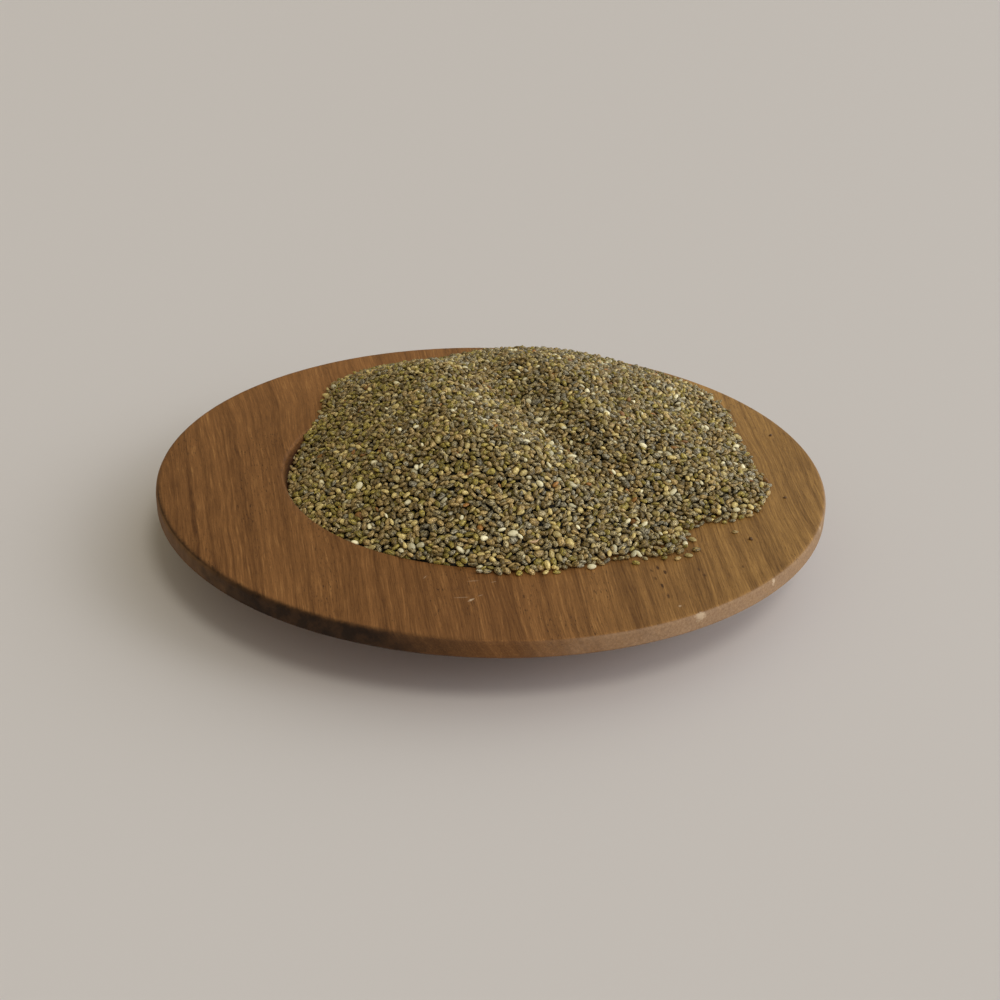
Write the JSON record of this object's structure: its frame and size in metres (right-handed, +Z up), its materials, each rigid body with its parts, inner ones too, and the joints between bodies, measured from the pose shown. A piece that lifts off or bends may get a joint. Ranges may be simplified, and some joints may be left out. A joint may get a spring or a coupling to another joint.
{
  "type": "dish of chia seeds",
  "caption": "Round turned wooden plate with a wide flat rim and a sunken well, heaped with small mottled chia seeds that spill over the rim.",
  "frame": {"origin": "centre of the plate's foot, on the surface that it stands on", "axes": "+Z up, the plate's turning axis; +Y away from the viewer of the picture, +X to the right"},
  "size_m": [0.16, 0.16, 0.0342],
  "materials": {
    "turned_wood": "oiled mid-brown wood, fine straight grain, satin",
    "chia_seeds": "smooth dry seed coats, mottled grey-brown and olive, with some cream and rust"
  },
  "bodies": {
    "root": {"dish": "turned_wood", "chia_heap": "chia_seeds"}
  },
  "joints": []
}
